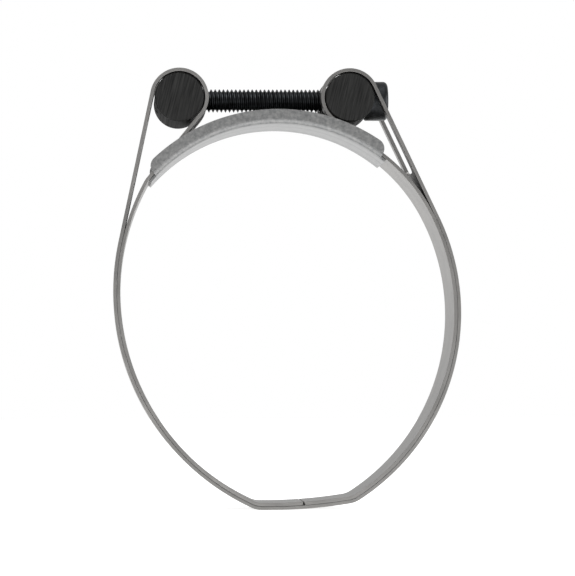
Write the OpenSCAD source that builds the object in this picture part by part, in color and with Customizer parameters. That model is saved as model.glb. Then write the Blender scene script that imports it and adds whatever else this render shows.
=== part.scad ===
// Heavy-duty single-bolt hose clamp with a doubled steel strip, a bridge and two round trunnions.
// The hose axis is Y, the screw lies along X and Z points up. The origin is the centre of the hose seat.

/* [Strip] */
// Width of the steel strip
strip_w = 25.4; // [24:0.1:27]
// Thickness of one layer of the strip
strip_t = 1.1; // [0.8:0.05:1.2]
// Air between the two layers
layer_gap = 0.12; // [0.08:0.02:0.2]
// Width of the window that lets the screw and its head through each loop
window_w = 16.6; // [15:0.1:18]
// Corner radius of the windows
window_corner_r = 2; // [1:0.5:3]
// Length of the window along the outer leg of each loop
window_outer_len = 32; // [24:1:36]
// Length of the window along the inner leg of each loop
window_inner_len = 4; // [1:0.5:6]

/* [Ring] */
// Outside radius of the ring's left side
left_arc_r = 80.3; // [79.8:0.1:81]
// Centre of the ring's left side, across
left_arc_x = 24.45; // [24:0.05:24.8]
// Centre of the ring's left side, height
left_arc_z = -0.2; // [-0.6:0.1:0.2]
// Outside radius of the ring's right side
right_arc_r = 74.9; // [73:0.1:76]
// Direction in which the ring's right side leaves the circle of the seat
right_leave_a = 28.6; // [24:0.1:32]
// Radius of the strip's bend at the bridge's left end
shoulder_r = 10; // [8:0.5:16]
// Outside radius of the bowed bottom
bottom_r = 170; // [150:5:220]
// Place of the lowest point, across
bottom_x = -2.7; // [-4:0.1:0]
// Height of the lowest point below the seat's centre
bottom_z = -73.75; // [-75:0.1:-72]
// Radius of the two bottom bends, between the layers
corner_r = 7.5; // [5:0.5:9]
// Place of the butt joint of the inner layer, across
butt_x = 8; // [4:0.5:12]
// Width of the butt joint at the hose side
butt_hose_w = 0.25; // [0.2:0.05:0.5]
// Width of the butt joint between the layers
butt_deep_w = 0.9; // [0.6:0.1:1.5]

/* [Bridge] */
// Radius of the hose seat
seat_r = 56.6; // [56.4:0.1:56.8]
// Thickness of the bridge's sheet
bridge_t = 0.9; // [0.7:0.05:1]
// Height of the bridge over both flanges, from the seat
flange_h = 4.9; // [4:0.1:5.5]
// Inner radius of the bend between base and flange
bend_r = 0.4; // [0.3:0.05:0.45]
// Clearance between the strip and each flange
side_gap = 0.3; // [0.2:0.05:0.6]
// Direction of the seat's right end
seat_right_a = 50.6; // [49:0.1:52]
// Direction of the seat's left end
seat_left_a = 139.4; // [138.5:0.1:139.8]
// Direction of the flanges' right end
flange_right_a = 52.6; // [52:0.1:53]
// Direction of the flanges' left end
flange_left_a = 136.8; // [136:0.1:137]
// Radius of the flanges' upper corners
flange_corner_r = 3.8; // [3:0.1:4]

/* [Trunnions] */
// Radius of both trunnions
trunnion_r = 8.35; // [8:0.05:8.5]
// Length of both trunnions
trunnion_len = 25.4; // [24:0.1:25.8]
// Height of the trunnions and the screw above the seat's centre
trunnion_z = 65.7; // [65.5:0.1:67]
// Place of the threaded trunnion, across
left_trunnion_x = -33.45; // [-34:0.05:-33]
// Place of the plain trunnion, across
right_trunnion_x = 24.4; // [24:0.1:25]
// Clearance between a trunnion and its loop
loop_gap = 0.4; // [0.3:0.05:0.6]
// Chamfer at the trunnions' ends
trunnion_chamfer = 0.4; // [0.2:0.1:0.8]

/* [Screw] */
// Outside diameter of the thread
thread_d = 7.9; // [7.5:0.1:8]
// Pitch of the thread, 18 to the inch
thread_pitch = 1.411; // [1.25:0.001:1.5]
// Length of the screw under its head
screw_len = 69.85; // [66:0.05:72]
// Diameter of the head
head_d = 13.4; // [12:0.1:13.6]
// Height of the head
head_h = 8; // [7:0.1:9]
// Corner chamfer of the head
head_chamfer = 0.9; // [0.4:0.1:1.2]
// Distance from the plain trunnion's axis to the head's seat
head_seat = 5.8; // [5:0.1:6]
// Width of the hexagon socket across its flats
socket_af = 6.35; // [6:0.05:6.5]
// Depth of the hexagon socket
socket_depth = 4.6; // [4.2:0.1:5]
// Clearance around the screw in both trunnions
screw_gap = 0.35; // [0.3:0.05:0.5]

/* [Spot welds] */
// Diameter of one weld nugget
weld_d = 5; // [4:0.5:6]
// Distance of the nuggets from the strip's middle
weld_y = 6.5; // [5:0.5:8]

/* [Hidden] */
$fn = 96;

// Where the strip is cut into a fixed lower part and two upper parts that flex
left_cut_a = 180;
right_cut_a = 365;
cut_gap = 0.05;

// Angle between the points of an arc, and the coarser one for a small corner
arc_step = 1.5;
corner_step = 15;
// Two points of a path closer than this are one point
least_step = 0.01;
// How far a cutting shape reaches past what it cuts
overrun = 2;
// How much a cutting face keeps off a face it would otherwise coincide with
shaving = 0.01;
window_step = 0.05;
flange_relief = 0.3;
// Clearance between a weld nugget and each layer, because both are made of straight steps
weld_gap = 0.02;

// Half of the arc that a pair of weld nuggets is cut from
weld_reach_a = 9.6;
// Angles from a pair of weld nuggets to the cuts, to the corners and to the butt joint
weld_side_a = 8;
weld_corner_a = 10;
weld_butt_a = 2.4;

// Radii of the strip's middle, from the outside radius of the doubled strip
outer_in = strip_t / 2;
inner_in = outer_in + strip_t + layer_gap;
between_in = strip_t + layer_gap / 2;

seat_centre = [0, 0];
strip_seat_r = seat_r + bridge_t + layer_gap + strip_t / 2;
left_centre = [left_arc_x, left_arc_z];
right_centre = (strip_seat_r - right_arc_r + inner_in) * heading(right_leave_a);
bottom_centre = [bottom_x, bottom_z + bottom_r];
left_trunnion = [left_trunnion_x, trunnion_z];
right_trunnion = [right_trunnion_x, trunnion_z];
loop_hole_r = trunnion_r + loop_gap;
loop_r = loop_hole_r - shaving + strip_t / 2;

// Bend circles that touch two larger circles from inside
shoulder_centre = crossing(
    seat_centre, strip_seat_r - shoulder_r,
    left_centre, left_arc_r - inner_in - shoulder_r, 1);
left_corner = crossing(
    left_centre, left_arc_r - between_in - corner_r,
    bottom_centre, bottom_r - between_in - corner_r, 1);
right_corner = crossing(
    right_centre, right_arc_r - between_in - corner_r,
    bottom_centre, bottom_r - between_in - corner_r, -1);

// Directions in which the strip goes from one arc or straight leg to the next
left_merge_a = outer_touch(left_trunnion, loop_r, left_centre, left_arc_r - outer_in, 1);
right_merge_a = outer_touch(right_trunnion, loop_r, right_centre, right_arc_r - outer_in, -1);
left_foot_a = cross_touch(left_trunnion, loop_r, shoulder_centre, shoulder_r, 1);
right_foot_a = cross_touch(right_trunnion, loop_r, seat_centre, strip_seat_r, -1);
shoulder_end_a = aim(left_centre, shoulder_centre);
left_corner_a = aim(left_centre, left_corner) + 360;
right_corner_a = aim(right_centre, right_corner) + 360;
bottom_left_a = aim(bottom_centre, left_corner) + 360;
bottom_right_a = aim(bottom_centre, right_corner) + 360;
butt_a = 360 - acos((butt_x - bottom_x) / (bottom_r - inner_in));

window_cut_t = 3 * strip_t;
window_start_len = 0.5;
flange_y = strip_w / 2 + side_gap;
head_seat_x = right_trunnion_x + head_seat;
depth_per_pitch = 0.6;
thread_depth = depth_per_pitch * thread_pitch;
thread_turns = floor(screw_len / thread_pitch) - 1;

// Unit vector in the XZ plane at angle a from +X towards +Z
function heading(a) = [cos(a), sin(a)];

// Direction from point p to point q
function aim(p, q) = atan2(q[1] - p[1], q[0] - p[0]);

// Crossing of the circle (p, rp) and the circle (q, rq), on the chosen side of the way from p to q
function crossing(p, rp, q, rq, side) =
    let (
        apart = norm(q - p),
        along = (rp * rp - rq * rq + apart * apart) / (2 * apart),
        across = sqrt(rp * rp - along * along),
        ahead = (q - p) / apart
    )
    p + along * ahead + side * across * [-ahead[1], ahead[0]];

// Outward direction of the straight line that touches two circles on the same side
function outer_touch(p, rp, q, rq, side) = aim(q, p) + side * acos((rq - rp) / norm(p - q));

// Outward direction, at circle q, of the straight line that passes between two circles
function cross_touch(p, rp, q, rq, side) = aim(q, p) + side * acos((rp + rq) / norm(p - q));

// Turns a shape drawn in XY with its height along Z into the XZ plane, at a point and an angle
module at(point, angle = 0) {
    translate([point[0], 0, point[1]])
        rotate([90, -angle, 0])
            children();
}

// Points along an arc, each with the direction across the strip; side is -1 where that points inwards
function arc(centre, r, a, b, side = 1, step = arc_step) =
    let (steps = ceil(abs(b - a) / step))
    [for (i = [0 : steps]) let (angle = a + (b - a) * i / steps)
        [centre + r * heading(angle), side * heading(angle)]];

// The same points without the doubled ones where two arcs meet
function joined(path) =
    [for (i = [0 : len(path) - 1])
        if (i == 0 || norm(path[i][0] - path[i - 1][0]) > least_step) path[i]];

// Strip of thickness t along a path
module strip(path, t = strip_t, w = strip_w) {
    line = joined(path);
    rotate([90, 0, 0])
        linear_extrude(w, center = true)
            polygon(concat(
                [for (p = line) p[0] + t / 2 * p[1]],
                [for (i = [len(line) - 1 : -1 : 0]) line[i][0] - t / 2 * line[i][1]]
            ));
}

// Seat of the trunnion in its loop
module loop_hole(centre) {
    at(centre)
        cylinder(r = loop_hole_r, h = strip_w + overrun, center = true);
}

// Far end of a window, with two round corners, at a distance along a leg.
// It is a little narrower than the rest, so that no two cutting faces lie in one plane.
module window_end(p, angle, length) {
    side_y = window_w / 2 - window_step;
    corner = [length - window_corner_r, side_y - window_corner_r];
    at(p, angle)
        rotate([90, 0, 0])
            linear_extrude(2 * overrun, center = true)
                polygon(concat(
                    [[0, -side_y]],
                    [for (q = arc([corner[0], -corner[1]], window_corner_r, -90, 0, 1, corner_step)) q[0]],
                    [for (q = arc(corner, window_corner_r, 0, 90, 1, corner_step)) q[0]],
                    [[0, side_y]]
                ));
}

// Window through a loop and both its legs; turn is 1 where the outer leg is on the left
module window(centre, merge_a, foot_a, turn) {
    outer_start = centre + loop_r * heading(merge_a);
    inner_start = centre - loop_r * heading(foot_a);
    outer_way = turn * heading(merge_a + 90);
    inner_way = turn * heading(foot_a + 90);
    strip(
        concat(
            [[outer_start + window_corner_r * outer_way, heading(merge_a)]],
            arc(centre, loop_r, merge_a, foot_a - turn * 180),
            [[inner_start + window_start_len * inner_way, -heading(foot_a)]]
        ),
        window_cut_t, window_w
    );
    window_end(outer_start, merge_a + turn * 90, window_outer_len);
    window_end(inner_start, foot_a + turn * 90, window_inner_len);
}

// Lower part of the outer layer, from one side of the ring to the other
module band_base() {
    bend_out_r = corner_r + between_in - outer_in;
    color("silver")
        strip(concat(
            arc(left_centre, left_arc_r - outer_in, left_cut_a, left_corner_a),
            arc(left_corner, bend_out_r, left_corner_a, bottom_left_a),
            arc(bottom_centre, bottom_r - outer_in, bottom_left_a, bottom_right_a),
            arc(right_corner, bend_out_r, bottom_right_a, right_corner_a),
            arc(right_centre, right_arc_r - outer_in, right_corner_a, right_cut_a)
        ));
}

// Gap between the two ends of the inner layer, wider away from the hose
module butt_gap() {
    at(bottom_centre, butt_a)
        translate([bottom_r - inner_in, 0, -strip_w])
            linear_extrude(2 * strip_w)
                polygon([
                    [-strip_t, 0],
                    [-strip_t / 2, -butt_hose_w / 2],
                    [strip_t, -butt_deep_w / 2],
                    [strip_t, butt_deep_w / 2],
                    [-strip_t / 2, butt_hose_w / 2]
                ]);
}

// Left end of the inner layer, from the ring's side to the butt joint
module inner_end_left() {
    color("silver")
        difference() {
            strip(concat(
                arc(left_centre, left_arc_r - inner_in, left_cut_a, left_corner_a),
                arc(left_corner, corner_r + between_in - inner_in, left_corner_a, bottom_left_a),
                arc(bottom_centre, bottom_r - inner_in, bottom_left_a, butt_a)
            ));
            butt_gap();
        }
}

// Right end of the inner layer, from the butt joint to the ring's side
module inner_end_right() {
    color("silver")
        difference() {
            strip(concat(
                arc(bottom_centre, bottom_r - inner_in, butt_a, bottom_right_a),
                arc(right_corner, corner_r + between_in - inner_in,
                    bottom_right_a, right_corner_a),
                arc(right_centre, right_arc_r - inner_in, right_corner_a, right_cut_a)
            ));
            butt_gap();
        }
}

// Upper left part of the strip: outer leg, loop, inner leg, shoulder and inner layer
module loop_left() {
    cut_a = left_cut_a - cut_gap / left_arc_r * 180 / PI;
    color("silver")
        difference() {
            strip(concat(
                arc(left_centre, left_arc_r - outer_in, cut_a, left_merge_a),
                arc(left_trunnion, loop_r, left_merge_a, left_foot_a - 180),
                arc(shoulder_centre, shoulder_r, left_foot_a, shoulder_end_a, -1),
                arc(left_centre, left_arc_r - inner_in, shoulder_end_a, cut_a, -1)
            ));
            loop_hole(left_trunnion);
            window(left_trunnion, left_merge_a, left_foot_a, 1);
        }
}

// Upper right part of the strip: outer leg, loop, inner leg, seat and inner layer
module loop_right() {
    cut_a = right_cut_a - 360 + cut_gap / right_arc_r * 180 / PI;
    color("silver")
        difference() {
            strip(concat(
                arc(right_centre, right_arc_r - outer_in, cut_a, right_merge_a),
                arc(right_trunnion, loop_r, right_merge_a, right_foot_a + 180),
                arc(seat_centre, strip_seat_r, right_foot_a, right_leave_a, -1),
                arc(right_centre, right_arc_r - inner_in, right_leave_a, cut_a, -1)
            ));
            loop_hole(right_trunnion);
            window(right_trunnion, right_merge_a, right_foot_a, -1);
        }
}

// Two weld nuggets side by side in the gap between the layers
module weld_pair(centre, r, angle) {
    intersection() {
        strip(arc(centre, r, angle - weld_reach_a, angle + weld_reach_a), layer_gap - 2 * weld_gap);
        for (side = [-1, 1])
            at(centre, angle)
                translate([r, 0, side * weld_y])
                    rotate([0, 90, 0])
                        cylinder(d = weld_d, h = strip_t, center = true);
    }
}

module welds_base() {
    color("gray") {
        weld_pair(left_centre, left_arc_r - between_in, left_cut_a + weld_side_a);
        weld_pair(left_centre, left_arc_r - between_in, left_corner_a - weld_corner_a);
        weld_pair(bottom_centre, bottom_r - between_in, butt_a - weld_butt_a);
        weld_pair(bottom_centre, bottom_r - between_in, butt_a + weld_butt_a);
        weld_pair(right_centre, right_arc_r - between_in, right_corner_a + weld_corner_a);
        weld_pair(right_centre, right_arc_r - between_in, right_cut_a - weld_side_a);
    }
}

module welds_left() {
    color("gray")
        weld_pair(left_centre, left_arc_r - between_in, left_cut_a - weld_side_a);
}

module welds_right() {
    color("gray")
        weld_pair(right_centre, right_arc_r - between_in, right_cut_a + weld_side_a);
}

// Cross-section of the bridge: the seat's sheet with a bend and a flange at each side
module bridge_section() {
    outer_r = bend_r + bridge_t;
    translate([seat_r, -flange_y + bend_r])
        square([bridge_t, 2 * (flange_y - bend_r)]);
    for (side = [0, 1])
        mirror([0, side]) {
            translate([seat_r + outer_r, flange_y])
                square([flange_h - outer_r, bridge_t]);
            translate([seat_r + outer_r, flange_y - bend_r])
                intersection() {
                    difference() {
                        circle(outer_r);
                        circle(bend_r);
                    }
                    translate([-outer_r, 0])
                        square(outer_r);
                }
        }
}

// Cuts both flanges off past one end, and rounds their upper corner there; flip is 1 at the left end
module flange_cut(angle, flip) {
    low_y = flange_y - bend_r - flange_relief;
    corner_x = seat_r + flange_h - flange_corner_r;
    at(seat_centre, angle)
        for (half = [-1, 1])
            translate([0, 0, half * (low_y + strip_w / 2)])
                linear_extrude(strip_w, center = true)
                    mirror([0, flip]) {
                        translate([seat_r - overrun, -2 * flange_h])
                            square([flange_h + 2 * overrun, 2 * flange_h]);
                        difference() {
                            translate([corner_x, 0])
                                square([flange_corner_r + overrun, flange_corner_r]);
                            translate([corner_x, flange_corner_r])
                                circle(flange_corner_r);
                        }
                    }
}

// Bridge that closes the ring over the hose, and guides the strip between its flanges
module bridge() {
    color("lightgray")
        difference() {
            at(seat_centre, seat_right_a)
                rotate_extrude(angle = seat_left_a - seat_right_a)
                    bridge_section();
            flange_cut(flange_right_a, 0);
            flange_cut(flange_left_a, 1);
        }
}

// Round bar across the strip, with chamfered ends
module trunnion(centre) {
    at(centre)
        rotate_extrude()
            polygon([
                [0, -trunnion_len / 2],
                [trunnion_r - trunnion_chamfer, -trunnion_len / 2],
                [trunnion_r, -trunnion_len / 2 + trunnion_chamfer],
                [trunnion_r, trunnion_len / 2 - trunnion_chamfer],
                [trunnion_r - trunnion_chamfer, trunnion_len / 2],
                [0, trunnion_len / 2]
            ]);
}

// Hole along X through a trunnion
module cross_hole(from_x, to_x, r) {
    translate([from_x, 0, trunnion_z])
        rotate([0, 90, 0])
            cylinder(r = r, h = to_x - from_x);
}

module threaded_trunnion() {
    color("dimgray")
        difference() {
            trunnion(left_trunnion);
            cross_hole(left_trunnion_x - trunnion_r - overrun,
                left_trunnion_x + trunnion_r + overrun, thread_d / 2 + screw_gap);
        }
}

module plain_trunnion() {
    color("dimgray")
        difference() {
            trunnion(right_trunnion);
            cross_hole(right_trunnion_x - trunnion_r - overrun,
                right_trunnion_x + trunnion_r + overrun, thread_d / 2 + screw_gap);
            cross_hole(head_seat_x, right_trunnion_x + trunnion_r + overrun,
                head_d / 2 + screw_gap);
        }
}

// Half outline of the screw from its tip, at height 0, to the top of its head
function screw_outline() = concat(
    [[0, 0], [thread_d / 2 - thread_depth, 0]],
    [for (turn = [0 : thread_turns - 1], half = [0, 1])
        [thread_d / 2 - (half == 0 ? thread_depth : 0), (turn + 0.5 + half / 2) * thread_pitch]],
    [
        [thread_d / 2 - thread_depth, (thread_turns + 0.5) * thread_pitch],
        [thread_d / 2 - thread_depth, screw_len],
        [head_d / 2 - head_chamfer / 2, screw_len],
        [head_d / 2, screw_len + head_chamfer / 2],
        [head_d / 2, screw_len + head_h - head_chamfer],
        [head_d / 2 - head_chamfer, screw_len + head_h],
        [0, screw_len + head_h]
    ]
);

// Socket head cap screw, with ring grooves for its thread
module clamp_screw() {
    color("dimgray")
        translate([head_seat_x - screw_len, 0, trunnion_z])
            rotate([0, 90, 0])
                difference() {
                    rotate_extrude()
                        polygon(screw_outline());
                    translate([0, 0, screw_len + head_h - socket_depth])
                        cylinder(d = socket_af / cos(30), h = socket_depth + overrun, $fn = 6);
                }
}

band_base();
inner_end_left();
inner_end_right();
loop_left();
loop_right();
welds_base();
welds_left();
welds_right();
bridge();
threaded_trunnion();
plain_trunnion();
clamp_screw();
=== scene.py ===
"""Looks of the hose clamp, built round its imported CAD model.

The steel strip, the bridge and the screw are modelled here with their real edges, bends and thread.
The two round cross bars are the CAD's own. All sizes are in metres and all angles in degrees.
"""

import math

import bpy
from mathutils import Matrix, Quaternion, Vector


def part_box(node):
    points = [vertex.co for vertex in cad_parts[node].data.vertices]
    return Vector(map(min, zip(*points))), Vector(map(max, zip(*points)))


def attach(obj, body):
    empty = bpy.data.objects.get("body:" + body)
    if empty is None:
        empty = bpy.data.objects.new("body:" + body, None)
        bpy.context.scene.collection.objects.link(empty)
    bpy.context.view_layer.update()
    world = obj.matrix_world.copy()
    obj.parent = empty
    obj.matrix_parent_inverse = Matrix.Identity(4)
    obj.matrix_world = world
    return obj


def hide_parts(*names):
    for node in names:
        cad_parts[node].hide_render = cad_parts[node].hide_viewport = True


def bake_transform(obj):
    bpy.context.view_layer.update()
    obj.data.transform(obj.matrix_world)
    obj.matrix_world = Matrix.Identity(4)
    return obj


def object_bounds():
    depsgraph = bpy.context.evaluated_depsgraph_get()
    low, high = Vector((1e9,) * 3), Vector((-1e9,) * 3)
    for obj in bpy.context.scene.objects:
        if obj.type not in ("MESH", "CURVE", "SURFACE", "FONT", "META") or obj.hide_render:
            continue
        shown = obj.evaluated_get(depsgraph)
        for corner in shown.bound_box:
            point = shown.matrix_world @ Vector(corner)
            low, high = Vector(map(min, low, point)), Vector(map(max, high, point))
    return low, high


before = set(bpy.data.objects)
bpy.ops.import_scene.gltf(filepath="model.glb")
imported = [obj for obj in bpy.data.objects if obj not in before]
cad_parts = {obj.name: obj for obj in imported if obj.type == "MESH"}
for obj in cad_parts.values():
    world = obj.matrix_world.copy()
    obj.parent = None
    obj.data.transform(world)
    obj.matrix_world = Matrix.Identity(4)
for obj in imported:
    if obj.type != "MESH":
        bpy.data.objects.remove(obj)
cad_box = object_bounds()

# Steel strip: the same driving sizes as the CAD, but thicker inside so that its layers touch
STRIP_T = 0.0011
LAYER_GAP = 0.00012
SHEET_T = 0.00121
STRIP_EDGE_R = 0.00007
WINDOW_W = 0.0166
WINDOW_CORNER_R = 0.002
WINDOW_OUTER_LEN = 0.032
WINDOW_INNER_LEN = 0.004
LEFT_ARC_R = 0.0803
LEFT_CENTRE = Vector((0.02445, -0.0002))
RIGHT_ARC_R = 0.0749
RIGHT_LEAVE_A = 28.6
SHOULDER_R = 0.010
BOTTOM_R = 0.170
BOTTOM_POINT = Vector((-0.0027, -0.07375))
CORNER_R = 0.0075
BUTT_X = 0.008
BUTT_HOSE_W = 0.00025
BUTT_DEEP_W = 0.0009
LOOP_GAP = 0.0004

# Bridge
SEAT_R = 0.0566
BRIDGE_T = 0.0009
FLANGE_H = 0.0049
BEND_R = 0.0004
SEAT_RIGHT_A = 50.6
SEAT_LEFT_A = 139.4
FLANGE_RIGHT_A = 52.6
FLANGE_LEFT_A = 136.8
FLANGE_CORNER_R = 0.0038
FLANGE_RELIEF = 0.0003
BRIDGE_EDGE_R = 0.00012

# Screw; the ridge's foot and crest are half widths in pitches
THREAD_D = 0.0079
THREAD_PITCH = 0.001411
THREAD_DEPTH = 0.00085
RIDGE_FOOT = 0.46
RIDGE_CREST = 0.07
RIDGE_FADE = 1.5
HEAD_H = 0.008
HEAD_CORNER_R = 0.0014
HEAD_SEAT_CHAMFER = 0.00045
TIP_CHAMFER = 0.0008
SOCKET_AF = 0.00635
SOCKET_DEPTH = 0.0046
SOCKET_CHAMFER = 0.0004

# How finely round things are made
ARC_STEP = 1.0
SHOULDER_STEP = 3
LOOP_STEP = 4
BEND_STEP = 6
CORNER_STEP = 10
LATHE_SIDES = 96
THREAD_SIDES = 48
LONGEST_ROW = 0.004
LEAST_ROW = 0.00015
SAME_PLACE = 0.00001
FLANGE_SHARES = (0.15, 0.5, 0.85, 1)

# Camera and studio
CAMERA_LENS = 160.67
CAMERA_ROLL = -0.26
CAMERA_FROM = Vector((-0.0536, -0.8777, -0.0344))
CAMERA_TO = Vector((0.0028, -0.0127, 0.00095))
FLOOR_RADIUS = 3.0
FLOOR_SIDES = 64
FRONT_TO_BACK = (0.42, 1.0)
LOW_TO_HIGH = (1.1, 0.65)


# ---------------------------------------------------------------- plane geometry, in X and Z

def heading(angle):
    """Unit vector at an angle from +X towards +Z."""
    return Vector((math.cos(math.radians(angle)), math.sin(math.radians(angle))))


def aim(p, q):
    """Direction from point p to point q."""
    return math.degrees(math.atan2(q.y - p.y, q.x - p.x))


def crossing(p, rp, q, rq, side):
    """Crossing of two circles, on the chosen side of the way from p to q."""
    apart = (q - p).length
    along = (rp * rp - rq * rq + apart * apart) / (2 * apart)
    across = math.sqrt(rp * rp - along * along)
    ahead = (q - p) / apart
    return p + along * ahead + side * across * Vector((-ahead.y, ahead.x))


def outer_touch(p, rp, q, rq, side):
    """Outward direction of the straight line that touches two circles on the same side."""
    return aim(q, p) + side * math.degrees(math.acos((rq - rp) / (p - q).length))


def cross_touch(p, rp, q, rq, side):
    """Outward direction, at circle q, of the straight line that passes between two circles."""
    return aim(q, p) + side * math.degrees(math.acos((rp + rq) / (p - q).length))


def arc(centre, r, a, b, step=ARC_STEP):
    """Points along an arc."""
    steps = math.ceil(abs(b - a) / step)
    return [centre + r * heading(a + (b - a) * i / steps) for i in range(steps + 1)]


# ---------------------------------------------------------------- mesh helpers

def new_object(name, vertices, faces, uvs=None):
    """A mesh object; uvs holds one (u, v) for each vertex."""
    mesh = bpy.data.meshes.new(name)
    mesh.from_pydata([tuple(v) for v in vertices], [], faces)
    if uvs:
        layer = mesh.uv_layers.new(name="UVMap")
        for loop in mesh.loops:
            layer.data[loop.index].uv = uvs[loop.vertex_index]
    obj = bpy.data.objects.new(name, mesh)
    bpy.context.scene.collection.objects.link(obj)
    return obj


def bake(obj):
    """Applies an object's modifiers."""
    graph = bpy.context.evaluated_depsgraph_get()
    mesh = bpy.data.meshes.new_from_object(obj.evaluated_get(graph))
    obj.modifiers.clear()
    obj.data = mesh


def thicken(obj, thickness, group=""):
    """Turns a sheet into a plate with the sheet in its middle; a vertex group makes it thinner in places."""
    solid = obj.modifiers.new("thickness", "SOLIDIFY")
    solid.vertex_group = group
    solid.thickness = thickness
    solid.offset = 0
    solid.use_even_offset = True
    bake(obj)


def soften(obj, radius):
    """Rounds the sharp edges, and keeps the flat faces flat in the shading."""
    bevel = obj.modifiers.new("edges", "BEVEL")
    bevel.width = radius
    bevel.segments = 3
    bevel.limit_method = "ANGLE"
    bevel.angle_limit = math.radians(40)
    for polygon in obj.data.polygons:
        polygon.use_smooth = True
    obj.modifiers.new("normals", "WEIGHTED_NORMAL")
    bake(obj)


def lathe(name, profile):
    """Solid of revolution about the screw's axis from (x, radius) points that start and end on it."""
    rings = profile[1:-1]
    vertices = [(profile[0][0], 0, 0)]
    for x, r in rings:
        for i in range(LATHE_SIDES):
            turn = 2 * math.pi * i / LATHE_SIDES
            vertices.append((x, r * math.cos(turn), r * math.sin(turn)))
    vertices.append((profile[-1][0], 0, 0))
    last = len(vertices) - 1
    faces = []
    for i in range(LATHE_SIDES):
        j = (i + 1) % LATHE_SIDES
        faces.append((0, 1 + j, 1 + i))
        for ring in range(len(rings) - 1):
            low = 1 + ring * LATHE_SIDES
            high = low + LATHE_SIDES
            faces.append((low + i, low + j, high + j, high + i))
        top = 1 + (len(rings) - 1) * LATHE_SIDES
        faces.append((top + i, top + j, last))
    return new_object(name, vertices, faces)


def smooth_by_angle(obj, angle):
    """Smooth shading, broken at edges sharper than the angle."""
    for polygon in obj.data.polygons:
        polygon.use_smooth = True
    obj.data.set_sharp_from_angle(angle=math.radians(angle))


def join(name, objects):
    """Joins objects into the first one."""
    bpy.ops.object.select_all(action="DESELECT")
    for obj in objects:
        obj.select_set(True)
    bpy.context.view_layer.objects.active = objects[0]
    bpy.ops.object.join()
    objects[0].name = name
    return objects[0]


# ---------------------------------------------------------------- steel strip

def centre_of(node):
    """Middle of a CAD node's box."""
    low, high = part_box(node)
    return (low + high) / 2


def strip_sections():
    """The strip's middle line from one end of its butt joint round to the other, as named point lists."""
    outer_in = STRIP_T / 2
    inner_in = outer_in + STRIP_T + LAYER_GAP
    between_in = STRIP_T + LAYER_GAP / 2
    inner_bend_r = CORNER_R + between_in - inner_in
    outer_bend_r = CORNER_R + between_in - outer_in
    seat_centre = Vector((0, 0))
    seat_r = SEAT_R + BRIDGE_T + LAYER_GAP + STRIP_T / 2

    bar_low, bar_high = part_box("threaded_trunnion")
    loop_r = (bar_high.z - bar_low.z) / 2 + LOOP_GAP + STRIP_T / 2
    left_bar = centre_of("threaded_trunnion").xz
    right_bar = centre_of("plain_trunnion").xz
    left = LEFT_CENTRE
    right = (seat_r - RIGHT_ARC_R + inner_in) * heading(RIGHT_LEAVE_A)
    bottom = BOTTOM_POINT + Vector((0, BOTTOM_R))
    shoulder = crossing(
        seat_centre, seat_r - SHOULDER_R, left, LEFT_ARC_R - inner_in - SHOULDER_R, 1)
    left_corner = crossing(
        left, LEFT_ARC_R - between_in - CORNER_R, bottom, BOTTOM_R - between_in - CORNER_R, 1)
    right_corner = crossing(
        right, RIGHT_ARC_R - between_in - CORNER_R, bottom, BOTTOM_R - between_in - CORNER_R, -1)

    left_merge_a = outer_touch(left_bar, loop_r, left, LEFT_ARC_R - outer_in, 1)
    right_merge_a = outer_touch(right_bar, loop_r, right, RIGHT_ARC_R - outer_in, -1)
    left_foot_a = cross_touch(left_bar, loop_r, shoulder, SHOULDER_R, 1)
    right_foot_a = cross_touch(right_bar, loop_r, seat_centre, seat_r, -1)
    shoulder_end_a = aim(left, shoulder)
    left_corner_a = aim(left, left_corner) + 360
    right_corner_a = aim(right, right_corner)
    bottom_left_a = aim(bottom, left_corner) + 360
    bottom_right_a = aim(bottom, right_corner) + 360
    seam_a = 360 - math.degrees(math.acos((BUTT_X - bottom.x) / (BOTTOM_R - outer_in)))
    butt_a = 360 - math.degrees(math.acos((BUTT_X - bottom.x) / (BOTTOM_R - inner_in)))
    half_butt_a = math.degrees(BUTT_HOSE_W / 2 / BOTTOM_R)

    return {
        "left_inner": [
            *arc(bottom, BOTTOM_R - inner_in, butt_a - half_butt_a, bottom_left_a),
            *arc(left_corner, inner_bend_r, bottom_left_a, left_corner_a, BEND_STEP),
            *arc(left, LEFT_ARC_R - inner_in, left_corner_a, shoulder_end_a),
            *arc(shoulder, SHOULDER_R, shoulder_end_a, left_foot_a, SHOULDER_STEP)],
        "left_loop": arc(left_bar, loop_r, left_foot_a - 180, left_merge_a, LOOP_STEP),
        "outer": [
            *arc(left, LEFT_ARC_R - outer_in, left_merge_a, left_corner_a),
            *arc(left_corner, outer_bend_r, left_corner_a, bottom_left_a, BEND_STEP),
            *arc(bottom, BOTTOM_R - outer_in, bottom_left_a, seam_a),
            *arc(bottom, BOTTOM_R - outer_in, seam_a, bottom_right_a),
            *arc(right_corner, outer_bend_r, bottom_right_a, right_corner_a + 360, BEND_STEP),
            *arc(right, RIGHT_ARC_R - outer_in, right_corner_a, right_merge_a)],
        "right_loop": arc(right_bar, loop_r, right_merge_a, right_foot_a + 180, LOOP_STEP),
        "right_inner": [
            *arc(seat_centre, seat_r, right_foot_a, RIGHT_LEAVE_A),
            *arc(right, RIGHT_ARC_R - inner_in, RIGHT_LEAVE_A, right_corner_a),
            *arc(right_corner, inner_bend_r, right_corner_a + 360, bottom_right_a, BEND_STEP),
            *arc(bottom, BOTTOM_R - inner_in, bottom_right_a, butt_a + half_butt_a)],
    }


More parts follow.
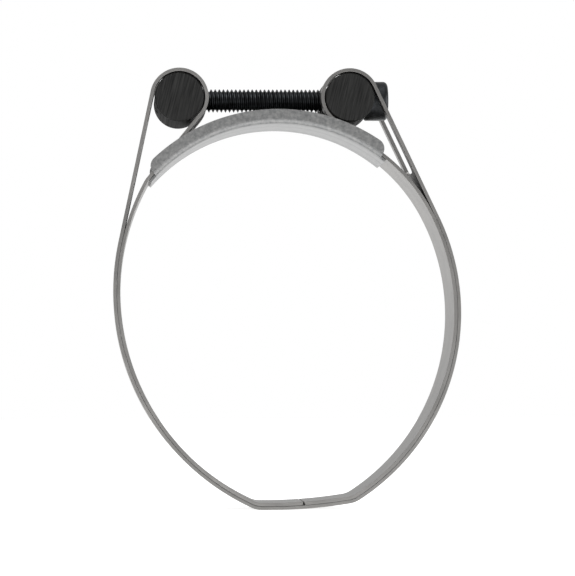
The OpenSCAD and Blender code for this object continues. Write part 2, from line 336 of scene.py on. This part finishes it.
def measured(sections):
    """One list of points with the distance along it, and where each section starts and ends."""
    points, places, ends = [], [], {}
    for name, section in sections.items():
        for i, point in enumerate(section):
            step = (point - points[-1]).length if points else 0.0
            if not points or step > SAME_PLACE:
                places.append(places[-1] + step if places else 0.0)
                points.append(point)
            if i == 0:
                ends[name] = [places[-1], places[-1]]
        ends[name][1] = places[-1]
    return points, places, ends


def window_half(place, windows):
    """Half of the window's width at a place along the strip; elsewhere, half of its square end."""
    narrow = WINDOW_W / 2 - WINDOW_CORNER_R
    for start, end in windows:
        depth = min(place - start, end - place)
        if depth > 0:
            missing = max(0.0, WINDOW_CORNER_R - depth)
            return narrow + math.sqrt(WINDOW_CORNER_R ** 2 - missing ** 2)
    return narrow


def with_window_rows(points, places, windows):
    """Adds rows at the windows' ends and round their corners, and at steps along the straight legs."""
    wanted = []
    for start, end in windows:
        for angle in range(0, 91, CORNER_STEP):
            depth = WINDOW_CORNER_R * (1 - math.cos(math.radians(angle)))
            wanted += [start + depth, end - depth]
    rows = [(s, p) for s, p in zip(places, points) if all(abs(s - w) > LEAST_ROW for w in wanted)]
    for w in wanted:
        i = max(k for k, s in enumerate(places) if s <= w)
        share = (w - places[i]) / (places[i + 1] - places[i])
        rows.append((w, points[i].lerp(points[i + 1], share)))
    rows.sort(key=lambda row: row[0])
    filled = [rows[0]]
    for s, p in rows[1:]:
        before_s, before_p = filled[-1]
        extra = int((s - before_s) / LONGEST_ROW)
        for k in range(1, extra + 1):
            share = k / (extra + 1)
            filled.append((before_s + (s - before_s) * share, before_p.lerp(p, share)))
        filled.append((s, p))
    return filled


def strip_sheet():
    """The whole strip as a sheet without thickness, with both windows; u runs along it and v across."""
    points, places, ends = measured(strip_sections())
    windows = [
        (ends["left_loop"][0] - WINDOW_INNER_LEN, ends["left_loop"][1] + WINDOW_OUTER_LEN),
        (ends["right_loop"][0] - WINDOW_OUTER_LEN, ends["right_loop"][1] + WINDOW_INNER_LEN)]
    rows = with_window_rows(points, places, windows)
    low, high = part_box("band_base")
    half = (high.y - low.y) / 2
    vertices, uvs, faces = [], [], []
    for place, point in rows:
        side = window_half(place, windows)
        for y in (-half, -half + STRIP_T / 2, -side, 0, side, half - STRIP_T / 2, half):
            vertices.append((point.x, y, point.y))
            uvs.append((place, y))
    across = 7
    for i in range(len(rows) - 1):
        middle = (rows[i][0] + rows[i + 1][0]) / 2
        open_here = any(start < middle < end for start, end in windows)
        for c in range(across - 1):
            if not (open_here and c in (2, 3)):
                a = i * across + c
                faces.append((a, a + 1, a + across + 1, a + across))
    strip = new_object("strip", vertices, faces, uvs)
    group = strip.vertex_groups.new(name="share_of_thickness")
    for vertex in strip.data.vertices:
        at_edge = vertex.index % across in (0, across - 1)
        group.add([vertex.index], STRIP_T / SHEET_T if at_edge else 1.0, "REPLACE")
    return strip


def cut_butt_joint(strip):
    """Slants the strip's two ends, so that the butt joint is wider away from the hose."""
    bottom = BOTTOM_POINT + Vector((0, BOTTOM_R))
    hose_side_r = BOTTOM_R - 2 * STRIP_T - LAYER_GAP
    between_r = BOTTOM_R - STRIP_T - LAYER_GAP / 2
    for vertex in strip.data.vertices:
        from_butt = vertex.co.x - BUTT_X
        depth_r = (vertex.co.xz - bottom).length
        if abs(from_butt) < 2 * BUTT_HOSE_W and depth_r < between_r and vertex.co.z < 0:
            depth = (depth_r - hose_side_r) / STRIP_T
            vertex.co.x += math.copysign(depth * (BUTT_DEEP_W - BUTT_HOSE_W) / 2, from_butt)


def half_of(strip, name, side):
    """A copy of the strip that keeps only what is on one side of the butt joint."""
    keep = [p for p in strip.data.polygons if side * (p.center.x - BUTT_X) > 0]
    used = sorted({v for p in keep for v in p.vertices})
    number = {v: i for i, v in enumerate(used)}
    faces = [[number[v] for v in p.vertices] for p in keep]
    obj = new_object(name, [strip.data.vertices[v].co for v in used], faces)
    layer = obj.data.uv_layers.new(name="UVMap")
    source = strip.data.uv_layers["UVMap"].data
    normals = []
    for polygon, original in zip(obj.data.polygons, keep):
        polygon.use_smooth = True
        for loop, old_loop in zip(polygon.loop_indices, original.loop_indices):
            layer.data[loop].uv = source[old_loop].uv
            normals.append(strip.data.corner_normals[old_loop].vector.copy())
    obj.data.normals_split_custom_set(normals)
    return obj


def flex(piece):
    """Bakes a half of the strip's transform into its mesh."""
    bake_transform(piece)


def make_strip(steel):
    """The strip as two halves that meet at the butt joint."""
    whole = strip_sheet()
    thicken(whole, SHEET_T, "share_of_thickness")
    cut_butt_joint(whole)
    soften(whole, STRIP_EDGE_R)
    left = half_of(whole, "strip_left_half", -1)
    right = half_of(whole, "strip_right_half", 1)
    bpy.data.objects.remove(whole)
    for half in (left, right):
        half.data.materials.append(steel)
    flex(left)
    flex(right)
    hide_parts("band_base", "inner_end_left", "loop_left", "welds_base", "welds_left")
    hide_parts("inner_end_right", "loop_right", "welds_right")


# ---------------------------------------------------------------- bridge

def bridge_columns(top_r):
    """Radius and side distance of the sheet's middle, from the base's middle out to one flange's top."""
    flat_y = centre_half_width() - BEND_R
    bend_base_r = SEAT_R + BRIDGE_T + BEND_R
    middle_r = BEND_R + BRIDGE_T / 2
    columns = [(SEAT_R + BRIDGE_T / 2, y) for y in (0, flat_y / 2, flat_y - FLANGE_RELIEF, flat_y)]
    for angle in (30, 60, 90):
        turn = math.radians(angle)
        columns.append((bend_base_r - middle_r * math.cos(turn), flat_y + middle_r * math.sin(turn)))
    side_y = flat_y + middle_r
    for share in FLANGE_SHARES:
        columns.append((bend_base_r + share * max(top_r - bend_base_r, SAME_PLACE), side_y))
    return columns


def centre_half_width():
    """Distance from the middle to a flange's inner face."""
    low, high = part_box("bridge")
    return (high.y - low.y) / 2 - BRIDGE_T


def flange_rows():
    """Angles of the bridge's rows, each with the flange's top radius there, or None past its ends."""
    top_r = SEAT_R + FLANGE_H
    rows = {}
    for end_a, inward in ((FLANGE_RIGHT_A, 1), (FLANGE_LEFT_A, -1)):
        for angle in range(0, 91, CORNER_STEP):
            turn = math.radians(angle)
            depth = FLANGE_CORNER_R * (1 - math.cos(turn))
            place = end_a + inward * math.degrees(depth / top_r)
            rows[place] = top_r - FLANGE_CORNER_R * (1 - math.sin(turn))
    corner_a = math.degrees(FLANGE_CORNER_R / top_r)
    first, last = FLANGE_RIGHT_A + corner_a, FLANGE_LEFT_A - corner_a
    steps = math.ceil((last - first) / ARC_STEP)
    for i in range(1, steps):
        rows[first + (last - first) * i / steps] = top_r
    for end_a, seat_a in ((FLANGE_RIGHT_A, SEAT_RIGHT_A), (FLANGE_LEFT_A, SEAT_LEFT_A)):
        for share in (0.5, 1):
            rows[end_a + share * (seat_a - end_a)] = None
    return sorted(rows.items())


def make_bridge(zinc):
    """Channel that closes the ring over the hose: a curved base with a bend and a flange on each side."""
    rows = flange_rows()
    vertices, faces = [], []
    base_columns = 3
    for angle, top_r in rows:
        half = bridge_columns(top_r or SEAT_R + FLANGE_H)
        section = [(r, -y) for r, y in reversed(half[1:])] + half
        for r, y in section:
            point = r * heading(angle)
            vertices.append((point.x, y, point.y))
    across = 2 * len(half) - 1
    middle = len(half) - 1
    for i in range(len(rows) - 1):
        past_end = rows[i][1] is None or rows[i + 1][1] is None
        for c in range(across - 1):
            outside = c < middle - base_columns + 1 or c >= middle + base_columns - 1
            if not (past_end and outside):
                a = i * across + c
                faces.append((a, a + 1, a + across + 1, a + across))
    bridge = new_object("bridge_channel", vertices, faces)
    thicken(bridge, BRIDGE_T)
    soften(bridge, BRIDGE_EDGE_R)
    bridge.data.materials.append(zinc)
    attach(bridge, "bridge_plate")
    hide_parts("bridge")


# ---------------------------------------------------------------- screw

def thread_ridge(x_from, x_to, root_r, crest_r):
    """Right-hand thread: one ridge wound round the screw's core, fading out at both ends."""
    under_r = root_r - THREAD_DEPTH / 4
    section = (
        (-RIDGE_FOOT, under_r), (-RIDGE_CREST, crest_r), (RIDGE_CREST, crest_r), (RIDGE_FOOT, under_r))
    steps = int((x_to - x_from) / THREAD_PITCH * THREAD_SIDES)
    vertices, faces = [], []
    for i in range(steps + 1):
        turn = 2 * math.pi * i / THREAD_SIDES
        fade = min(1.0, RIDGE_FADE * i / THREAD_SIDES, RIDGE_FADE * (steps - i) / THREAD_SIDES)
        middle_x = x_from + THREAD_PITCH * i / THREAD_SIDES
        for offset, r in section:
            faded_r = under_r + (r - under_r) * fade
            vertices.append((
                middle_x + offset * THREAD_PITCH, faded_r * math.cos(turn), faded_r * math.sin(turn)))
    count = len(section)
    for i in range(steps):
        for k in range(count):
            a, b = i * count + k, i * count + (k + 1) % count
            faces.append((a, b, b + count, a + count))
    faces += [tuple(range(count - 1, -1, -1)), tuple(range(steps * count, (steps + 1) * count))]
    ridge = new_object("thread", vertices, faces)
    smooth_by_angle(ridge, 35)
    return ridge


def socket_cutter(mouth_x):
    """Hexagonal hole with a conical bottom and a chamfered mouth."""
    corner_r = SOCKET_AF / 2 / math.cos(math.radians(30))
    bottom_x = mouth_x - SOCKET_DEPTH
    levels = [(bottom_x, corner_r), (mouth_x + SOCKET_CHAMFER, corner_r)]
    vertices = [(bottom_x - SOCKET_AF / 6, 0, 0)]
    for x, r in levels:
        for i in range(6):
            turn = math.radians(60 * i)
            vertices.append((x, r * math.cos(turn), r * math.sin(turn)))
    faces = [(0, 1 + (i + 1) % 6, 1 + i) for i in range(6)]
    faces += [(1 + i, 1 + (i + 1) % 6, 7 + (i + 1) % 6, 7 + i) for i in range(6)]
    faces.append(tuple(range(7, 13)))
    return new_object("socket", vertices, faces)


def mouth_cutter(mouth_x):
    """Cone that breaks the socket's edge."""
    wide_r = SOCKET_AF / 2 / math.cos(math.radians(30)) + SOCKET_CHAMFER
    return lathe("mouth", [
        (mouth_x - SOCKET_CHAMFER, 0), (mouth_x - SOCKET_CHAMFER, wide_r - 2 * SOCKET_CHAMFER),
        (mouth_x + SOCKET_CHAMFER, wide_r), (mouth_x + SOCKET_CHAMFER, 0)])


def cut(obj, cutter):
    """Takes the cutter out of an object."""
    difference = obj.modifiers.new("cut", "BOOLEAN")
    difference.operation = "DIFFERENCE"
    difference.solver = "EXACT"
    difference.object = cutter
    bake(obj)
    bpy.data.objects.remove(cutter)


def make_screw(black):
    """Socket head screw: core, head and helical thread, along the X axis."""
    low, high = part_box("clamp_screw")
    bar_low, bar_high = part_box("plain_trunnion")
    head_r = (high.y - low.y) / 2
    crest_r = THREAD_D / 2
    root_r = crest_r - THREAD_DEPTH
    seat_x = high.x - HEAD_H
    corner = [
        (high.x - HEAD_CORNER_R * (1 - math.sin(math.radians(a))),
         head_r - HEAD_CORNER_R * (1 - math.cos(math.radians(a))))
        for a in range(0, 91, 15)]
    body = lathe("body", [
        (low.x, 0), (low.x, root_r - TIP_CHAMFER / 2), (low.x + TIP_CHAMFER, root_r),
        (seat_x, root_r), (seat_x, head_r - HEAD_SEAT_CHAMFER),
        (seat_x + HEAD_SEAT_CHAMFER, head_r), *corner, (high.x, 0)])
    cut(body, socket_cutter(high.x))
    cut(body, mouth_cutter(high.x))
    smooth_by_angle(body, 32)
    ridge = thread_ridge(low.x + THREAD_PITCH, seat_x - THREAD_PITCH, root_r, crest_r)
    screw = join("socket_head_screw", [body, ridge])
    screw.data.materials.clear()
    screw.data.materials.append(black)
    screw.location.z = (bar_low.z + bar_high.z) / 2
    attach(screw, "screw")
    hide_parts("clamp_screw")


# ---------------------------------------------------------------- materials

class Nodes:
    """Short names for building one material's nodes."""

    def __init__(self, name):
        self.material = bpy.data.materials.new(name)
        self.material.use_nodes = True
        self.tree = self.material.node_tree
        self.shader = self.tree.nodes["Principled BSDF"]

    def new(self, kind, **settings):
        node = self.tree.nodes.new(kind)
        for key, value in settings.items():
            setattr(node, key, value)
        return node

    def link(self, output, socket):
        self.tree.links.new(output, socket)

    def coordinates(self, output, scale, rotation=(0, 0, 0)):
        """Texture coordinates, turned and then scaled."""
        source = self.new("ShaderNodeTexCoord")
        turn = self.new("ShaderNodeMapping")
        turn.inputs["Rotation"].default_value = [math.radians(a) for a in rotation]
        self.link(source.outputs[output], turn.inputs["Vector"])
        stretch = self.new("ShaderNodeMapping")
        stretch.inputs["Scale"].default_value = scale
        self.link(turn.outputs["Vector"], stretch.inputs["Vector"])
        return stretch.outputs["Vector"]

    def noise(self, vector, scale=1.0, detail=3.0, roughness=0.55):
        node = self.new("ShaderNodeTexNoise")
        node.inputs["Scale"].default_value = scale
        node.inputs["Detail"].default_value = detail
        node.inputs["Roughness"].default_value = roughness
        self.link(vector, node.inputs["Vector"])
        return node.outputs["Fac"]

    def ramp(self, value, stops):
        """Colours by value; a stop is (place, colour)."""
        node = self.new("ShaderNodeValToRGB")
        elements = node.color_ramp.elements
        while len(elements) < len(stops):
            elements.new(0.5)
        for element, (place, colour) in zip(elements, stops):
            element.position = place
            element.color = (*colour, 1)
        self.link(value, node.inputs["Fac"])
        return node.outputs["Color"]

    def spread(self, value, low, high):
        """Maps 0.3..0.7, where noise mostly lies, to low..high."""
        node = self.new("ShaderNodeMapRange")
        node.inputs["From Min"].default_value = 0.3
        node.inputs["From Max"].default_value = 0.7
        node.inputs["To Min"].default_value = low
        node.inputs["To Max"].default_value = high
        self.link(value, node.inputs["Value"])
        return node.outputs["Result"]

    def mix(self, factor, a, b, blend_type="MIX"):
        """Mixes two colours; factor is a number or an output."""
        node = self.new("ShaderNodeMix", data_type="RGBA", blend_type=blend_type)
        if isinstance(factor, (int, float)):
            node.inputs["Factor"].default_value = factor
        else:
            self.link(factor, node.inputs["Factor"])
        self.link(a, node.inputs[6])
        self.link(b, node.inputs[7])
        return node.outputs[2]

    def average(self, a, b, share):
        """Weighted mean of two values."""
        node = self.new("ShaderNodeMix", data_type="FLOAT")
        node.inputs["Factor"].default_value = share
        self.link(a, node.inputs[2])
        self.link(b, node.inputs[3])
        return node.outputs[0]

    def bump(self, height, strength, distance):
        node = self.new("ShaderNodeBump")
        node.inputs["Strength"].default_value = strength
        node.inputs["Distance"].default_value = distance
        self.link(height, node.inputs["Height"])
        self.link(node.outputs["Normal"], self.shader.inputs["Normal"])

    def finish(self, colour, roughness, edge_tint=1.0):
        """Metal; edge_tint dulls what it reflects at a glancing angle."""
        self.shader.inputs["Metallic"].default_value = 1.0
        self.shader.inputs["Specular Tint"].default_value = (edge_tint, edge_tint, edge_tint, 1)
        self.link(colour, self.shader.inputs["Base Color"])
        self.link(roughness, self.shader.inputs["Roughness"])
        return self.material


def strip_steel():
    """Cold-rolled strip: fine rolling lines along its length, faint stains and a dull grain."""
    n = Nodes("strip_steel")
    lines = n.noise(n.coordinates("UV", (45, 3200, 1)), detail=4)
    stains = n.noise(n.coordinates("UV", (90, 160, 1)), detail=5, roughness=0.65)
    grain = n.noise(n.coordinates("Object", (2600, 2600, 2600)), detail=2)
    line_colour = n.ramp(lines, [(0.3, (0.262, 0.257, 0.250)), (0.7, (0.352, 0.346, 0.338))])
    stain_colour = n.ramp(stains, [(0.35, (0.86, 0.86, 0.86)), (0.65, (1.0, 0.995, 0.985))])
    colour = n.mix(1.0, line_colour, stain_colour, "MULTIPLY")
    roughness = n.spread(n.average(lines, grain, 0.5), 0.30, 0.46)
    n.bump(n.average(lines, grain, 0.4), 0.14, 0.00002)
    return n.finish(colour, roughness, 0.85)


def painted_shade_lines(n):
    """Painted shade: faint dark lines along the bridge, at its two bends and across its base, standing in
    for the shade that falls there.
    """
    split = n.new("ShaderNodeSeparateXYZ")
    source = n.new("ShaderNodeTexCoord")
    n.link(source.outputs["Object"], split.inputs["Vector"])
    across = n.new("ShaderNodeMapRange")
    half = centre_half_width()
    across.inputs["From Min"].default_value = -half
    across.inputs["From Max"].default_value = half
    n.link(split.outputs["Y"], across.inputs["Value"])
    # Painted shade: 1 keeps the zinc's own colour, lower values darken it into lines.
    shades = ((0.0, 0.95), (0.06, 0.72), (0.14, 1.0), (0.33, 1.0), (0.39, 0.76), (0.45, 1.0),
              (0.78, 1.0), (0.83, 0.70), (0.88, 1.0), (0.95, 0.9), (1.0, 0.95))
    return n.ramp(across.outputs["Result"], [(place, (shade,) * 3) for place, shade in shades])


def zinc_steel():
    """Galvanised sheet: mottled spangle a millimetre or two across, with dull and bright patches."""
    n = Nodes("zinc_steel")
    place = n.coordinates("Object", (1, 1, 1))
    patches = n.noise(place, scale=800, detail=5, roughness=0.7)
    spangle = n.new("ShaderNodeTexVoronoi", feature="F1")
    spangle.inputs["Scale"].default_value = 650
    n.link(place, spangle.inputs["Vector"])
    grain = n.noise(place, scale=2600, detail=2)
    patch_colour = n.ramp(patches, [
        (0.34, (0.250, 0.253, 0.255)), (0.5, (0.315, 0.316, 0.314)), (0.66, (0.395, 0.393, 0.388))])
    cell_colour = n.ramp(spangle.outputs["Color"], [(0.0, (0.88, 0.885, 0.89)), (1.0, (1.0, 1.0, 1.0))])
    mottled = n.mix(1.0, patch_colour, cell_colour, "MULTIPLY")
    # The zinc's colour is darkened by the painted shade lines.
    colour = n.mix(1.0, mottled, painted_shade_lines(n), "MULTIPLY")
    roughness = n.spread(n.average(patches, grain, 0.4), 0.30, 0.52)
    n.bump(n.average(patches, grain, 0.5), 0.35, 0.00004)
    return n.finish(colour, roughness, 0.95)


def black_oxide():
    """Blackened steel: sawn and brushed end faces, turned round sides, a trace of brown."""
    n = Nodes("black_oxide")
    sawn = n.noise(n.coordinates("Object", (2600, 1, 90), (0, -14, 0)), detail=3)
    turned = n.noise(n.coordinates("Object", (60, 3000, 60)), detail=3)
    surface = n.new("ShaderNodeTexCoord")
    split = n.new("ShaderNodeSeparateXYZ")
    n.link(surface.outputs["Normal"], split.inputs["Vector"])
    facing = n.new("ShaderNodeMath", operation="ABSOLUTE")
    n.link(split.outputs["Y"], facing.inputs[0])
    is_end = n.new("ShaderNodeMath", operation="GREATER_THAN")
    is_end.inputs[1].default_value = 0.5
    n.link(facing.outputs["Value"], is_end.inputs[0])
    end_colour = n.ramp(sawn, [(0.3, (0.022, 0.022, 0.022)), (0.7, (0.056, 0.056, 0.055))])
    side_colour = n.ramp(turned, [(0.3, (0.016, 0.016, 0.016)), (0.7, (0.034, 0.034, 0.034))])
    colour = n.mix(is_end.outputs["Value"], side_colour, end_colour)
    roughness = n.spread(sawn, 0.36, 0.55)
    n.bump(n.average(sawn, turned, 0.5), 0.25, 0.00002)
    return n.finish(colour, roughness, 0.35)


def oiled_black():
    """The screw's blackening: smoother, and glossy where it is oiled."""
    n = Nodes("oiled_black")
    place = n.coordinates("Object", (1, 1, 1))
    patches = n.noise(place, scale=260, detail=4)
    grain = n.noise(place, scale=2200, detail=2)
    colour = n.ramp(patches, [(0.35, (0.024, 0.025, 0.026)), (0.65, (0.052, 0.055, 0.059))])
    roughness = n.spread(n.average(patches, grain, 0.5), 0.32, 0.48)
    n.bump(grain, 0.15, 0.00002)
    return n.finish(colour, roughness)


# ---------------------------------------------------------------- studio

def make_floor():
    """Plain pale floor that glows a little, like a light table."""
    points = []
    for i in range(FLOOR_SIDES):
        rim = FLOOR_RADIUS * heading(360 * i / FLOOR_SIDES)
        points.append((rim.x, rim.y, cad_box[0].z))
    floor = new_object("floor", points, [tuple(range(FLOOR_SIDES))])
    material = bpy.data.materials.new("floor_white")
    material.use_nodes = True
    shader = material.node_tree.nodes["Principled BSDF"]
    shader.inputs["Base Color"].default_value = (0.8, 0.8, 0.8, 1)
    shader.inputs["Roughness"].default_value = 0.9
    shader.inputs["Emission Color"].default_value = (1, 1, 1, 1)
    shader.inputs["Emission Strength"].default_value = 0.75
    floor.data.materials.append(material)


def graded(tree, value, from_range, to_range):
    """Maps one range of a value to another."""
    node = tree.nodes.new("ShaderNodeMapRange")
    node.inputs["From Min"].default_value = from_range[0]
    node.inputs["From Max"].default_value = from_range[1]
    node.inputs["To Min"].default_value = to_range[0]
    node.inputs["To Max"].default_value = to_range[1]
    tree.links.new(value, node.inputs["Value"])
    return node.outputs["Result"]


def make_world():
    """White behind the clamp; as the steel reflects it, darker in front and overhead."""
    world = bpy.data.worlds.new("studio")
    world.use_nodes = True
    tree = world.node_tree
    place = tree.nodes.new("ShaderNodeTexCoord")
    split = tree.nodes.new("ShaderNodeSeparateXYZ")
    tree.links.new(place.outputs["Generated"], split.inputs["Vector"])
    reflected = tree.nodes.new("ShaderNodeMath")
    reflected.operation = "MULTIPLY"
    tree.links.new(graded(tree, split.outputs["Y"], (-1, 1), FRONT_TO_BACK), reflected.inputs[0])
    tree.links.new(graded(tree, split.outputs["Z"], (0, 0.5), LOW_TO_HIGH), reflected.inputs[1])
    ray = tree.nodes.new("ShaderNodeLightPath")
    seen = tree.nodes.new("ShaderNodeMix")
    seen.inputs["B"].default_value = 1.0
    tree.links.new(ray.outputs["Is Camera Ray"], seen.inputs["Factor"])
    tree.links.new(reflected.outputs["Value"], seen.inputs["A"])
    tree.links.new(seen.outputs["Result"], tree.nodes["Background"].inputs["Strength"])
    tree.nodes["Background"].inputs["Color"].default_value = (1, 1, 1, 1)
    bpy.context.scene.world = world


def area_light(name, place, size, power):
    """A square soft light that points at the clamp's middle."""
    middle = (cad_box[0] + cad_box[1]) / 2
    data = bpy.data.lights.new(name, "AREA")
    data.size = size
    data.energy = power
    light = bpy.data.objects.new(name, data)
    light.location = middle + Vector(place)
    light.rotation_euler = (middle - light.location).to_track_quat("-Z", "Y").to_euler()
    bpy.context.scene.collection.objects.link(light)


def make_camera():
    """Long lens, a little to the left of the clamp and below its cross bars."""
    data = bpy.data.cameras.new("camera")
    data.lens = CAMERA_LENS
    data.clip_end = 20
    camera = bpy.data.objects.new("camera", data)
    camera.location = CAMERA_FROM
    straight = (CAMERA_TO - CAMERA_FROM).to_track_quat("-Z", "Y")
    roll = Quaternion((0, 0, 1), math.radians(CAMERA_ROLL))
    camera.rotation_euler = (straight @ roll).to_euler()
    bpy.context.scene.collection.objects.link(camera)
    bpy.context.scene.camera = camera


def make_studio():
    """Floor, lights and camera."""
    make_world()
    make_floor()
    area_light("light_above", (-0.3, -0.35, 0.8), 0.7, 5)
    area_light("light_right", (0.9, -0.4, 0.2), 0.6, 3)
    make_camera()
    bpy.context.scene.view_settings.view_transform = "Standard"


make_strip(strip_steel())
make_bridge(zinc_steel())
make_screw(oiled_black())
bar_black = black_oxide()
for bar in ("threaded_trunnion", "plain_trunnion"):
    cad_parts[bar].material_slots[0].material = bar_black
make_studio()
